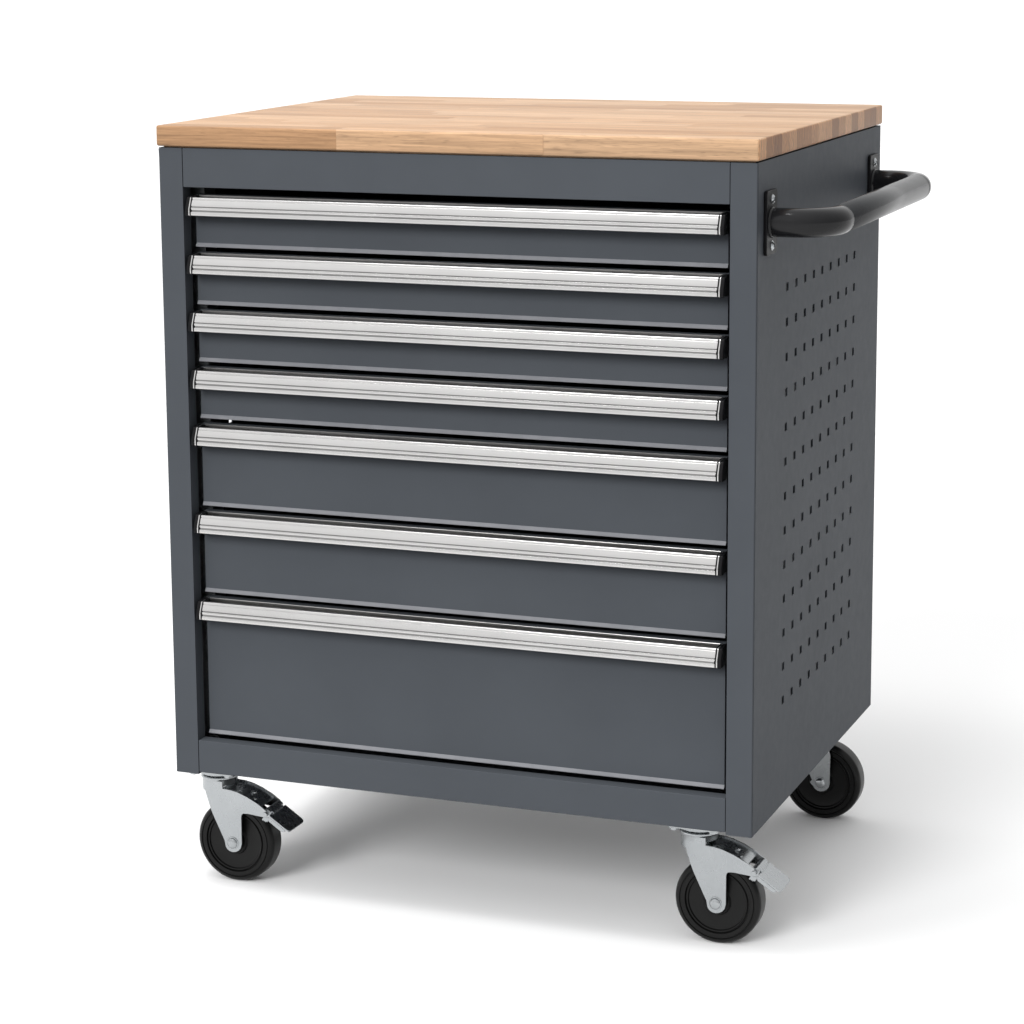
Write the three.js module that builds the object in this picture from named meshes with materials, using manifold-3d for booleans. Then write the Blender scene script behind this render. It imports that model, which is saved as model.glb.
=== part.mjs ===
// Rolling tool chest: a folded sheet cabinet with seven telescopic drawers, a solid beech worktop,
// a push bar on its right side and four swivel casters, the front two with brakes.
// Millimetres. X runs across the front, Y from front to back, Z up.

import * as THREE from "three";
import { mergeVertices } from "three/addons/utils/BufferGeometryUtils.js";
import Module from "manifold-3d";

const wasm = await Module();
wasm.setup();

// Fits
const fit = 0.3; // between pieces that touch
const running = 0.4; // radial, between a pin and what turns on it
const overlap = 0.6; // how far joined lumps of one piece reach into each other
const weldWithin = 1e-4; // points of one surface nearer than this are one point
const arcSteps = 8;

// Cabinet
const bodyWidth = 765;
const bodyDepth = 595;
const bodyHeight = 800;
const sheet = 1.5;
const stileWidth = 32;
const stileReturn = 20;
const rearFlange = 18;
const railSeam = 0.8;
const topRailHeight = 48;
const bottomRailTop = 45;
const baseRise = 3; // the underside sits this far above the lower ends of the sides
const trayFlange = 25;
const backFlange = 15;
const worktopThickness = 27;
const worktopOverhang = 2;
const worktopChamfer = 1.5;

// Perforation of the sides
const holeSize = 10;
const holePitchAcross = 41;
const holePitchUp = 42.4;
const holesFromFront = 131;
const holesFromBottom = 133.2;
const holesFromTop = 155;

// Drawers, top one first; the bottom one takes the height that is left
const frontPitches = [72, 72, 72, 72, 112, 112];
const frontGap = 7;
const frontOverSill = 5.5;
const frontUnderTopRail = 3.5;
const frontSideGap = 7.5;
const frontRecess = 19;
const frontFold = 12;
const drawerSheet = 1.2;
const drawerBehind = 56; // from the drawer's back wall to the rear of the cabinet
const boxRise = 5;
const boxDrop = 8;
const boxInset = 13;

// Telescopic slides: each part is given outwards from the drawer's side wall
const slideHeightOnBox = 22;
const slideBehindFront = 15;
const slideShort = 20;
const slideSheet = 1.5;
const slideClearance = 1;
const railDepth = 10;
const railHalfHeight = 8;
const memberLip = 2;
const runnerLip = 4;
const uprightWidth = 30;
const uprightInset = 12;
const uprightFromRear = 62;

// Drawer handles: an aluminium profile with a finger groove behind its top lip
const handleDepth = 25;
const handleHeight = 23;
const handleBelowTop = 1.5;
const handleSideGap = 1;
const handleWall = 2.2;
const grooveDepth = 12;
const grooveMouth = 12;
const faceBand = 8;
const faceLean = 7;
const handleNose = 3;

// Push bar
const barRadius = 17;
const barReach = 72;
const barDrop = 72;
const barFromEnds = 48;
const bendRadius = 45;
const bendSteps = 10;
const barSides = 16;
const elbowSpigot = 12;
const tubeWall = 2;
const bracketWidth = 44;
const bracketHeight = 75;
const bracketThickness = 4;

// Casters
const casterFromLeft = 34;
const casterFromRight = 81;
const casterFromFront = 55;
const casterFromRear = 40;
const casterTrail = 27;
const wheelRadius = 54.5;
const wheelWidth = 32;
const wheelSides = 28;
const hubShare = 0.25; // the wheel's steps, as shares of its radius and half width
const rimShare = 0.68;
const shoulderShare = 0.9;
const dishShare = 0.7;
const treadShare = 0.55;
const forkHeadroom = 27.4; // from the wheel's top to the fork's crown
const forkGap = 2;
const forkSheet = 3;
const casterPlate = 64;
const casterPlateThickness = 3;
const raceRadius = 20;
const raceHeight = 4;
const crownRadius = 22;
const crownHeight = 13;
const kingpinRadius = 5;
const rivetRadius = 8;
const rivetHeight = 4;
const axleRadius = 4;
const axleHeadRadius = 7;
const axleHeadHeight = 5;
const cheekRadius = 12;
const armAngle = THREE.MathUtils.degToRad(42.5); // from the axle to the end of the fork's arm
const armClearance = 4.6; // from the tread to the hub of the brake pedal
const armHalfHeight = 6;
const pinSides = 16;

// Brake pedal, which turns on a pin through the ends of the fork's arms
const pedalHubRadius = 6;
const pedalPinRadius = 3;
const pinStandout = 1; // past the outer face of each arm
const pedalLength = 40;
const pedalThickness = 3;
const pedalSlope = THREE.MathUtils.degToRad(41);
const padHalf = 3.6;
const padClearance = 1.5;

// ---- solids -------------------------------------------------------------------------------------

function solidOf(geometry) {
  const bare = geometry.clone();
  bare.deleteAttribute("normal");
  bare.deleteAttribute("uv");
  const merged = mergeVertices(bare, weldWithin);
  return new wasm.Manifold(
    new wasm.Mesh({
      numProp: 3,
      vertProperties: new Float32Array(merged.attributes.position.array),
      triVerts: new Uint32Array(merged.index.array),
    }),
  );
}

// A box between two values on each axis.
function block([x0, x1], [y0, y1], [z0, z1]) {
  const geometry = new THREE.BoxGeometry(x1 - x0, y1 - y0, z1 - z0);
  geometry.translate((x0 + x1) / 2, (y0 + y1) / 2, (z0 + z1) / 2);
  return solidOf(geometry);
}

const planes = {
  x: [new THREE.Vector3(0, 1, 0), new THREE.Vector3(0, 0, 1), new THREE.Vector3(1, 0, 0)],
  y: [new THREE.Vector3(1, 0, 0), new THREE.Vector3(0, 0, 1), new THREE.Vector3(0, -1, 0)],
  z: [new THREE.Vector3(1, 0, 0), new THREE.Vector3(0, 1, 0), new THREE.Vector3(0, 0, 1)],
};

// An outline extruded along an axis: (y, z) points for x, (x, z) for y and (x, y) for z.
function prism(outline, axis, [from, to]) {
  const shape =
    outline instanceof THREE.Shape
      ? outline
      : new THREE.Shape(outline.map(([a, b]) => new THREE.Vector2(a, b)));
  const geometry = new THREE.ExtrudeGeometry(shape, {
    depth: to - from,
    bevelEnabled: false,
    curveSegments: arcSteps,
  });
  geometry.translate(0, 0, axis === "y" ? -to : from);
  geometry.applyMatrix4(new THREE.Matrix4().makeBasis(...planes[axis]));
  return solidOf(geometry);
}

// A round bar along an axis, centred on the other two coordinates.
function bar(radius, axis, [from, to], [a, b], sides = pinSides) {
  const geometry = new THREE.CylinderGeometry(radius, radius, to - from, sides);
  geometry.translate(0, (from + to) / 2, 0);
  if (axis === "z") geometry.rotateX(Math.PI / 2);
  if (axis === "x") geometry.rotateZ(-Math.PI / 2);
  if (axis === "z") geometry.translate(a, b, 0);
  if (axis === "y") geometry.translate(a, 0, b);
  if (axis === "x") geometry.translate(0, a, b);
  return solidOf(geometry);
}

function join(...solids) {
  return solids.reduce((whole, piece) => whole.add(piece));
}

function mesh(name, solid, look) {
  const { vertProperties, triVerts } = solid.getMesh();
  const geometry = new THREE.BufferGeometry();
  geometry.setAttribute("position", new THREE.BufferAttribute(vertProperties, 3));
  geometry.setIndex(new THREE.BufferAttribute(triVerts, 1));
  geometry.computeVertexNormals();
  const made = new THREE.Mesh(geometry, new THREE.MeshStandardMaterial(look));
  made.name = name;
  return made;
}

const looks = {
  paint: { color: 0x565a60, roughness: 0.5, metalness: 0.1 },
  slide: { color: 0x9fa3a6, roughness: 0.35, metalness: 0.9 },
  beech: { color: 0xdcb48c, roughness: 0.55, metalness: 0 },
  aluminium: { color: 0xc9c8c7, roughness: 0.3, metalness: 1 },
  elbow: { color: 0x17181a, roughness: 0.25, metalness: 0 },
  barTube: { color: 0x4a4d50, roughness: 0.35, metalness: 0.3 },
  zinc: { color: 0xb9c0c4, roughness: 0.3, metalness: 1 },
  rubber: { color: 0x141414, roughness: 0.6, metalness: 0 },
};

// ---- cabinet ------------------------------------------------------------------------------------

const halfWidth = bodyWidth / 2;
const halfDepth = bodyDepth / 2;
const front = -halfDepth;
const insideX = halfWidth - sheet - fit;
const behindStile = front + stileReturn + fit;
const behindEnd = halfDepth - sheet - fit;
const railHalf = halfWidth - stileWidth - railSeam;
const topRailBottom = bodyHeight - topRailHeight;

// A side with its front stile and rear flange folded from one sheet, as seen from above.
function sidePanel(side) {
  const outline = [
    [halfWidth, front],
    [halfWidth, halfDepth],
    [halfWidth - rearFlange, halfDepth],
    [halfWidth - rearFlange, halfDepth - sheet],
    [halfWidth - sheet, halfDepth - sheet],
    [halfWidth - sheet, front + sheet],
    [halfWidth - stileWidth + sheet, front + sheet],
    [halfWidth - stileWidth + sheet, front + stileReturn],
    [halfWidth - stileWidth, front + stileReturn],
    [halfWidth - stileWidth, front],
  ];
  const folded = prism(
    outline.map(([x, y]) => [side * x, y]),
    "z",
    [0, bodyHeight],
  );
  const across = Math.floor((bodyDepth - 2 * holesFromFront) / holePitchAcross);
  const up = Math.floor((bodyHeight - holesFromBottom - holesFromTop) / holePitchUp);
  const holeX = [side * (halfWidth + sheet), side * (halfWidth - 2 * sheet)].sort((a, b) => a - b);
  let holes = null;
  for (let i = 0; i <= across; i++) {
    for (let j = 0; j <= up; j++) {
      const y = (i - across / 2) * holePitchAcross;
      const z = holesFromBottom + j * holePitchUp;
      const hole = block(
        holeX,
        [y - holeSize / 2, y + holeSize / 2],
        [z - holeSize / 2, z + holeSize / 2],
      );
      holes = holes ? holes.add(hole) : hole;
    }
  }
  return folded.subtract(holes);
}

function backPanel() {
  const outer = behindEnd;
  const outline = [
    [-insideX, outer],
    [-insideX, outer - backFlange],
    [-insideX + sheet, outer - backFlange],
    [-insideX + sheet, outer - sheet],
    [insideX - sheet, outer - sheet],
    [insideX - sheet, outer - backFlange],
    [insideX, outer - backFlange],
    [insideX, outer],
  ];
  return prism(outline, "z", [baseRise + trayFlange + fit, bodyHeight - trayFlange - fit]);
}

// The top, a tray with its flanges turned down.
function topPanel() {
  const outer = block(
    [-insideX, insideX],
    [behindStile, behindEnd],
    [bodyHeight - trayFlange, bodyHeight],
  );
  return outer.subtract(
    block(
      [-insideX + sheet, insideX - sheet],
      [behindStile + sheet, behindEnd - sheet],
      [bodyHeight - 2 * trayFlange, bodyHeight - sheet],
    ),
  );
}

// A rail between the stiles, folded back at top and bottom.
function foldedRail(bottom, top, lowerReturn) {
  return prism(
    [
      [front, bottom],
      [front + lowerReturn, bottom],
      [front + lowerReturn, bottom + sheet],
      [front + sheet, bottom + sheet],
      [front + sheet, top - sheet],
      [front + stileReturn - sheet, top - sheet],
      [front + stileReturn - sheet, top],
      [front, top],
    ],
    "x",
    [-railHalf, railHalf],
  );
}

// The base, a tray with its flanges turned up and the bottom rail folded on its front.
function baseTray() {
  const outer = block(
    [-insideX, insideX],
    [behindStile, behindEnd],
    [baseRise, baseRise + trayFlange],
  );
  const tray = outer.subtract(
    block(
      [-insideX + sheet, insideX - sheet],
      [behindStile + sheet, behindEnd - sheet],
      [baseRise + sheet, baseRise + 2 * trayFlange],
    ),
  );
  return join(tray, foldedRail(baseRise, bottomRailTop, stileReturn + fit + overlap));
}

function worktop() {
  const x = halfWidth + worktopOverhang;
  const y = halfDepth + worktopOverhang;
  const low = bodyHeight + fit;
  const high = low + worktopThickness;
  const c = worktopChamfer;
  const section = (edge) => [
    [-edge + c, low],
    [edge - c, low],
    [edge, low + c],
    [edge, high - c],
    [edge - c, high],
    [-edge + c, high],
    [-edge, high - c],
    [-edge, low + c],
  ];
  return prism(section(x), "y", [-y, y]).intersect(prism(section(y), "x", [-x, x]));
}

// ---- drawers and slides -------------------------------------------------------------------------

const frontHalf = halfWidth - stileWidth - frontSideGap;
const boxHalf = frontHalf - boxInset;
const frontFace = front + frontRecess;
const boxBack = halfDepth - drawerBehind;
const slideFront = frontFace + slideBehindFront;
const slideBack = boxBack - slideShort + slideBehindFront;
const stackTop = topRailBottom - frontUnderTopRail;
const stackBottom = bottomRailTop + frontOverSill;
const pitches = [
  ...frontPitches,
  stackTop - stackBottom - frontPitches.reduce((sum, pitch) => sum + pitch, 0),
];

// The outer faces of the slide's three parts, from the drawer's side wall.
const memberDepth = railDepth + slideClearance + slideSheet;
const memberHalfHeight = railHalfHeight + slideClearance + slideSheet;
const runnerDepth = memberDepth + slideClearance + slideSheet;
const runnerHalfHeight = memberHalfHeight + slideClearance + slideSheet;
const slideUp = boxRise + slideHeightOnBox;

function mirrored([x0, x1], side) {
  return side > 0 ? [x0, x1] : [-x1, -x0];
}

// A channel open towards the drawer, from its lip to its web.
function channel(side, up, lip, depth, halfHeight) {
  const outline = [
    [boxHalf + lip, up - halfHeight],
    [boxHalf + depth, up - halfHeight],
    [boxHalf + depth, up + halfHeight],
    [boxHalf + lip, up + halfHeight],
    [boxHalf + lip, up + halfHeight - slideSheet],
    [boxHalf + depth - slideSheet, up + halfHeight - slideSheet],
    [boxHalf + depth - slideSheet, up - halfHeight + slideSheet],
    [boxHalf + lip, up - halfHeight + slideSheet],
  ];
  return prism(
    outline.map(([x, z]) => [side * x, z]),
    "y",
    [slideFront, slideBack],
  );
}

function drawer(frontHeight) {
  const plate = block(
    [-frontHalf, frontHalf],
    [frontFace, frontFace + frontFold],
    [0, frontHeight],
  ).subtract(
    block(
      [-frontHalf + drawerSheet, frontHalf - drawerSheet],
      [frontFace + drawerSheet, frontFace + 2 * frontFold],
      [drawerSheet, frontHeight - drawerSheet],
    ),
  );
  const top = frontHeight - boxDrop;
  const box = block([-boxHalf, boxHalf], [frontFace + drawerSheet / 2, boxBack], [boxRise, top]).subtract(
    block(
      [-boxHalf + drawerSheet, boxHalf - drawerSheet],
      [frontFace + frontFold, boxBack - drawerSheet],
      [boxRise + drawerSheet, 2 * frontHeight],
    ),
  );
  const rails = [1, -1].map((side) =>
    block(
      mirrored([boxHalf - overlap, boxHalf + railDepth], side),
      [slideFront, slideBack],
      [slideUp - railHalfHeight, slideUp + railHalfHeight],
    ),
  );
  return join(plate, box, ...rails);
}

// The handle's section: a leaning face over a straight band, and a groove behind the top lip.
function handleProfile(frontHeight) {
  const back = frontFace - fit;
  const face = back - handleDepth;
  const top = frontHeight - handleBelowTop;
  const bottom = top - handleHeight;
  const wall = handleWall;
  const lipFront = face + faceLean;
  const grooveFront = back - wall - grooveMouth;
  const floor = top - grooveDepth;
  return [
    [back, frontHeight],
    [back - wall, frontHeight],
    [back - wall, floor],
    [grooveFront, floor],
    [grooveFront, top - wall],
    [grooveFront - wall / 2, top],
    [lipFront, top],
    [lipFront - wall / 2, top - wall],
    [face, bottom + faceBand],
    [face, bottom + handleNose],
    [face + handleNose, bottom],
    [grooveFront + wall, bottom],
    [grooveFront + wall, bottom + wall],
    [face + handleNose + wall, bottom + wall],
    [face + handleNose, floor - wall],
    [back, floor - wall],
  ];
}

function drawerHandle(frontHeight) {
  const half = frontHalf + handleSideGap;
  return prism(handleProfile(frontHeight), "x", [-half, half]);
}

// All the cabinet's runners of one side on their two uprights.
function runnerFrame(side, bottoms) {
  const inner = boxHalf + runnerDepth - overlap;
  const outer = halfWidth - 2 * sheet - 2 * fit;
  const height = [baseRise + sheet + fit, bodyHeight - sheet - fit];
  const uprights = [slideFront + uprightInset, halfDepth - uprightFromRear].flatMap((y) => [
    block(mirrored([inner, inner + slideSheet + overlap], side), [y, y + uprightWidth], height),
    block(mirrored([inner, outer], side), [y, y + slideSheet], height),
  ]);
  const runners = bottoms.map((bottom) =>
    channel(side, bottom + slideUp, runnerLip, runnerDepth, runnerHalfHeight),
  );
  return join(...uprights, ...runners);
}

// ---- push bar -----------------------------------------------------------------------------------

const barX = halfWidth + barReach;
const barUp = bodyHeight - barDrop;
const legY = halfDepth - barFromEnds;
const bracketFace = halfWidth + fit + bracketThickness;
const straightEnd = legY - bendRadius;

// The bar's centre line in one bend: out from the bracket, then a quarter turn along the side.
class BendPath extends THREE.Curve {
  constructor(end, start) {
    super();
    this.end = end;
    this.legLength = barReach - bendRadius - (start - halfWidth);
    this.start = start;
  }

  getPoint(t) {
    const along = t * (this.legLength + (bendRadius * Math.PI) / 2);
    if (along < this.legLength) return new THREE.Vector3(this.start + along, this.end * legY, barUp);
    const turn = (along - this.legLength) / bendRadius;
    return new THREE.Vector3(
      barX - bendRadius + bendRadius * Math.sin(turn),
      this.end * (straightEnd + bendRadius * Math.cos(turn)),
      barUp,
    );
  }
}

function circle(radius, sides) {
  const points = [];
  for (let i = 0; i < sides; i++) {
    const angle = (i / sides) * 2 * Math.PI;
    points.push(new THREE.Vector2(radius * Math.cos(angle), radius * Math.sin(angle)));
  }
  return new THREE.Shape(points);
}

function elbow(end) {
  const bend = new THREE.ExtrudeGeometry(circle(barRadius, barSides), {
    steps: bendSteps,
    bevelEnabled: false,
    extrudePath: new BendPath(end, bracketFace + fit),
  });
  const tubeEnd = end * straightEnd;
  const spigot = [tubeEnd - end * elbowSpigot, tubeEnd + end * overlap].sort((a, b) => a - b);
  return solidOf(bend).add(
    bar(barRadius - tubeWall - running, "y", spigot, [barX, barUp], barSides),
  );
}

function barTube() {
  const length = [-straightEnd + fit, straightEnd - fit];
  return bar(barRadius, "y", length, [barX, barUp], barSides).subtract(
    bar(barRadius - tubeWall, "y", [-legY, legY], [barX, barUp], barSides),
  );
}

function barBracket(end) {
  const y = end * legY;
  return block(
    [halfWidth + fit, bracketFace],
    [y - bracketWidth / 2, y + bracketWidth / 2],
    [barUp - bracketHeight / 2, barUp + bracketHeight / 2],
  );
}

// ---- casters, each built about its swivel axis with z = 0 at the base's underside ------------------

const plateUnder = -fit - casterPlateThickness;
const raceUnder = plateUnder - raceHeight;
const crownTop = raceUnder - fit;
const crownUnder = crownTop - crownHeight;
const axleUp = crownUnder - forkHeadroom - wheelRadius;
const forkInner = wheelWidth / 2 + forkGap;
const forkOuter = forkInner + forkSheet;
const pinDistance = wheelRadius + armClearance + pedalHubRadius;
const pedalX = casterTrail + pinDistance * Math.cos(armAngle);
const pedalZ = axleUp + pinDistance * Math.sin(armAngle);
const armEnd = pedalX + pedalHubRadius;
const armTop = pedalZ + armHalfHeight;
const armUnder = pedalZ - armHalfHeight;

function casterPlateSolid() {
  const half = casterPlate / 2;
  const rivetTop = crownUnder - fit;
  return join(
    block([-half, half], [-half, half], [plateUnder, -fit]),
    bar(raceRadius, "z", [raceUnder, plateUnder + overlap], [0, 0]),
    bar(kingpinRadius, "z", [rivetTop - rivetHeight, plateUnder], [0, 0]),
    bar(rivetRadius, "z", [rivetTop - rivetHeight, rivetTop], [0, 0]),
  );
}

// One cheek from the side: the crown above, a slanted leg down to the axle and, with a brake, an arm.
function cheekOutline(hasArm) {
  const x = casterTrail;
  const outline = new THREE.Shape();
  outline.moveTo(-crownRadius + overlap, crownTop - overlap);
  outline.lineTo(-crownRadius / 2, crownUnder - crownHeight);
  outline.lineTo(x - cheekRadius, axleUp);
  outline.absarc(x, axleUp, cheekRadius, Math.PI, 2 * Math.PI, false);
  outline.lineTo(x + cheekRadius, armUnder);
  if (hasArm) {
    outline.lineTo(armEnd, armUnder);
    outline.lineTo(armEnd, armTop);
  }
  outline.lineTo(kingpinRadius, crownUnder + overlap);
  outline.lineTo(kingpinRadius, crownTop - overlap);
  return outline;
}

function fork(hasArm) {
  const crown = bar(crownRadius, "z", [crownUnder, crownTop], [0, 0]);
  const cheeks = [
    prism(cheekOutline(hasArm), "y", [forkInner, forkOuter]),
    prism(cheekOutline(hasArm), "y", [-forkOuter, -forkInner]),
  ];
  let whole = join(crown, ...cheeks);
  if (hasArm) {
    const far = pedalX - pedalHubRadius;
    const slope = (armTop - crownUnder) / pedalX;
    const web = [
      [kingpinRadius + overlap, crownUnder + overlap],
      [far, crownUnder + slope * far],
      [far, crownUnder + slope * far - forkSheet],
      [kingpinRadius + overlap, crownUnder - forkSheet],
    ];
    const hub = [pedalX, pedalZ];
    const room = [crownUnder - crownHeight, crownUnder];
    whole = join(whole, prism(web, "y", [-forkInner - overlap, forkInner + overlap]))
      .subtract(bar(rivetRadius + 2 * running, "z", room, [0, 0]))
      .subtract(bar(pedalPinRadius + running, "y", [-2 * forkOuter, 2 * forkOuter], hub));
  }
  return whole
    .subtract(bar(kingpinRadius + running, "z", [crownUnder - overlap, crownTop + overlap], [0, 0]))
    .subtract(bar(axleRadius + fit, "y", [-2 * forkOuter, 2 * forkOuter], [casterTrail, axleUp]));
}

function axle() {
  const end = forkOuter + fit + axleHeadHeight;
  const centre = [casterTrail, axleUp];
  return join(
    bar(axleRadius, "y", [-end, end], centre),
    bar(axleHeadRadius, "y", [-end, -forkOuter - fit], centre),
    bar(axleHeadRadius, "y", [forkOuter + fit, end], centre, 6),
  );
}

// The wheel turned about its axle: hub, dished face, rim and a narrowing tread, with a flat below.
function wheel() {
  const half = wheelWidth / 2;
  const r = wheelRadius;
  const side = [
    [axleRadius + running, half + forkGap / 2],
    [r * hubShare, half + forkGap / 2],
    [r * hubShare, half * dishShare],
    [r * rimShare, half * dishShare],
    [r * rimShare, half],
    [r * shoulderShare, half],
    [r, half * treadShare],
  ];
  const points = [...side, ...side.map(([radius, y]) => [radius, -y]).reverse(), side[0]];
  const geometry = new THREE.LatheGeometry(
    points.map(([radius, y]) => new THREE.Vector2(radius, -y)),
    wheelSides,
  );
  geometry.rotateY(Math.PI / wheelSides);
  geometry.translate(casterTrail, 0, axleUp);
  return solidOf(geometry);
}

// The brake lever: a pedal plate, its hub with the pad towards the wheel, and the pin it turns on.
function brakePedal() {
  const hubHalf = forkInner - running;
  const pinHalf = forkOuter + pinStandout;
  const hub = bar(pedalHubRadius, "y", [-hubHalf, hubHalf], [pedalX, pedalZ]);
  const pin = bar(pedalPinRadius, "y", [-pinHalf, pinHalf], [pedalX, pedalZ]);
  const plateX = Math.cos(pedalSlope) * pedalLength;
  const plateZ = -Math.sin(pedalSlope) * pedalLength;
  const downX = -Math.sin(pedalSlope) * pedalThickness;
  const downZ = -Math.cos(pedalSlope) * pedalThickness;
  const topX = pedalX + Math.sin(pedalSlope) * pedalThickness;
  const topZ = pedalZ + Math.cos(pedalSlope) * pedalThickness;
  const plate = prism(
    [
      [topX, topZ],
      [topX + plateX, topZ + plateZ],
      [topX + plateX + downX, topZ + plateZ + downZ],
      [topX + downX, topZ + downZ],
    ],
    "y",
    [-hubHalf, hubHalf],
  );
  const reach = pinDistance - wheelRadius - padClearance;
  const towards = [-Math.cos(armAngle), -Math.sin(armAngle)];
  const pad = prism(
    [
      [pedalX - towards[1] * padHalf, pedalZ + towards[0] * padHalf],
      [
        pedalX - towards[1] * padHalf + towards[0] * reach,
        pedalZ + towards[0] * padHalf + towards[1] * reach,
      ],
      [
        pedalX + towards[1] * padHalf + towards[0] * reach,
        pedalZ - towards[0] * padHalf + towards[1] * reach,
      ],
      [pedalX + towards[1] * padHalf, pedalZ - towards[0] * padHalf],
    ],
    "y",
    [-hubHalf / 2, hubHalf / 2],
  );
  return join(hub, pin, plate, pad);
}

// ---- assembly -----------------------------------------------------------------------------------

const chest = new THREE.Group();
chest.add(
  mesh("side_panel_left", sidePanel(-1), looks.paint),
  mesh("side_panel_right", sidePanel(1), looks.paint),
  mesh("back_panel", backPanel(), looks.paint),
  mesh("top_panel", topPanel(), looks.paint),
  mesh("base_tray", baseTray(), looks.paint),
  mesh("top_rail", foldedRail(topRailBottom, bodyHeight, stileReturn - sheet), looks.paint),
  mesh("worktop", worktop(), looks.beech),
  mesh("push_bar_tube", barTube(), looks.barTube),
  mesh("push_bar_elbow_front", elbow(-1), looks.elbow),
  mesh("push_bar_elbow_rear", elbow(1), looks.elbow),
  mesh("push_bar_bracket_front", barBracket(-1), looks.paint),
  mesh("push_bar_bracket_rear", barBracket(1), looks.paint),
);

const bottoms = [];
let level = stackTop;
pitches.forEach((pitch, index) => {
  const number = index + 1;
  level -= pitch;
  bottoms.push(level);
  const stage = new THREE.Group();
  stage.position.z = level;
  stage.add(
    mesh(`drawer_${number}`, drawer(pitch - frontGap), looks.paint),
    mesh(`drawer_${number}_handle`, drawerHandle(pitch - frontGap), looks.aluminium),
  );
  for (const [name, side] of [["left", -1], ["right", 1]]) {
    const member = channel(side, slideUp, memberLip, memberDepth, memberHalfHeight);
    stage.add(mesh(`slide_${number}_${name}`, member, looks.slide));
  }
  chest.add(stage);
});
chest.add(
  mesh("runner_frame_left", runnerFrame(-1, bottoms), looks.slide),
  mesh("runner_frame_right", runnerFrame(1, bottoms), looks.slide),
);

const casterX = { left: -halfWidth + casterFromLeft, right: halfWidth - casterFromRight };
const casterY = { front: front + casterFromFront, rear: halfDepth - casterFromRear };
for (const end of ["front", "rear"]) {
  for (const side of ["left", "right"]) {
    const name = `caster_${end}_${side}`;
    const hasBrake = end === "front";
    const caster = new THREE.Group();
    caster.position.set(casterX[side], casterY[end], baseRise);
    caster.add(
      mesh(`${name}_plate`, casterPlateSolid(), looks.zinc),
      mesh(`${name}_fork`, fork(hasBrake), looks.zinc),
      mesh(`${name}_axle`, axle(), looks.zinc),
      mesh(`${name}_wheel`, wheel(), looks.rubber),
    );
    if (hasBrake) caster.add(mesh(`${name}_brake_pedal`, brakePedal(), looks.zinc));
    chest.add(caster);
  }
}

// The origin is on the floor, in the middle of the whole chest with its push bar.
const whole = new THREE.Group();
whole.add(chest);
const extent = new THREE.Box3().setFromObject(whole);
const middle = extent.getCenter(new THREE.Vector3());
chest.position.set(-middle.x, -middle.y, -extent.min.z);

export default whole;
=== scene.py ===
import math

import bpy
from mathutils import Matrix, Vector


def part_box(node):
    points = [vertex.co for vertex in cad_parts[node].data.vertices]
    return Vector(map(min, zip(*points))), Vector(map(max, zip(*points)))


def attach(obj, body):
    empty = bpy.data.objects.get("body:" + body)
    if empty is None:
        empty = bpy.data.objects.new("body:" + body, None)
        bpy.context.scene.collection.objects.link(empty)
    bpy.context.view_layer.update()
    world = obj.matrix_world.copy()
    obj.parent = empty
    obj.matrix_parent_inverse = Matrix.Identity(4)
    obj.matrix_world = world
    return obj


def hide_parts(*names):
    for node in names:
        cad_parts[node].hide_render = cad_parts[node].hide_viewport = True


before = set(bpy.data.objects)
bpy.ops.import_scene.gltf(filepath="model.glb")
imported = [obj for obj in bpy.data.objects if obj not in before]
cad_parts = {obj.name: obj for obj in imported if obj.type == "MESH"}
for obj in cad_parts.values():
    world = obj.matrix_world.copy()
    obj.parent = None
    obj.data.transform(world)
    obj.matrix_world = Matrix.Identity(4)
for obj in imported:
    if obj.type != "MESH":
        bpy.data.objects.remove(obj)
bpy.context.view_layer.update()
print("frame loaded")


# working in Blender

def mm(*values):
    scaled = [value / 1000 for value in values]
    return scaled[0] if len(scaled) == 1 else Vector(scaled)


def toMetres(points):
    return [(mm(a), mm(b)) for a, b in points]


def letGo():  # nothing is selected, and nothing is being edited
    if bpy.context.object and bpy.context.object.mode != "OBJECT":
        bpy.ops.object.mode_set(mode="OBJECT")
    bpy.ops.object.select_all(action="DESELECT")


def takeUp(obj):  # only this object is selected, and it is the active one
    letGo()
    obj.select_set(True)
    bpy.context.view_layer.objects.active = obj
    return obj


def settle(obj):
    takeUp(obj)
    bpy.ops.object.transform_apply(location=True, rotation=True, scale=True)
    return obj


def edit(obj, kind):
    takeUp(obj)
    bpy.ops.object.mode_set(mode="EDIT")
    bpy.ops.mesh.select_mode(type=kind)
    bpy.ops.mesh.select_all(action="DESELECT")


def leave():
    bpy.ops.object.mode_set(mode="OBJECT")


def pickFaces(obj, wanted):
    edit(obj, "FACE")
    leave()
    for face in obj.data.polygons:
        face.select = wanted(face.center, face.normal)
    bpy.ops.object.mode_set(mode="EDIT")


def pickEdges(obj, wanted):
    edit(obj, "EDGE")
    leave()
    points = obj.data.vertices
    for edge in obj.data.edges:
        edge.select = wanted(points[edge.vertices[0]].co, points[edge.vertices[1]].co)
    bpy.ops.object.mode_set(mode="EDIT")


def useModifier(obj, kind, **settings):
    takeUp(obj)
    modifier = obj.modifiers.new(kind.title(), kind)
    for key, value in settings.items():
        setattr(modifier, key, value)
    bpy.ops.object.modifier_apply(modifier=modifier.name)
    return obj


# degrees between faces that still shade, or stay, as one surface
bends = {"plain": 32, "sharp": 30, "round": 40, "tyre": 38, "dome": 50, "hex": 20}


def soften(obj, width, segments=2, angle=bends["sharp"]):  # a small round on every sharp edge
    useModifier(obj, "BEVEL", width=width, segments=segments, limit_method="ANGLE",
                angle_limit=math.radians(angle), use_clamp_overlap=True)
    smooth(obj)
    return useModifier(obj, "WEIGHTED_NORMAL", weight=80, keep_sharp=True)  # wide faces stay flat


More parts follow.
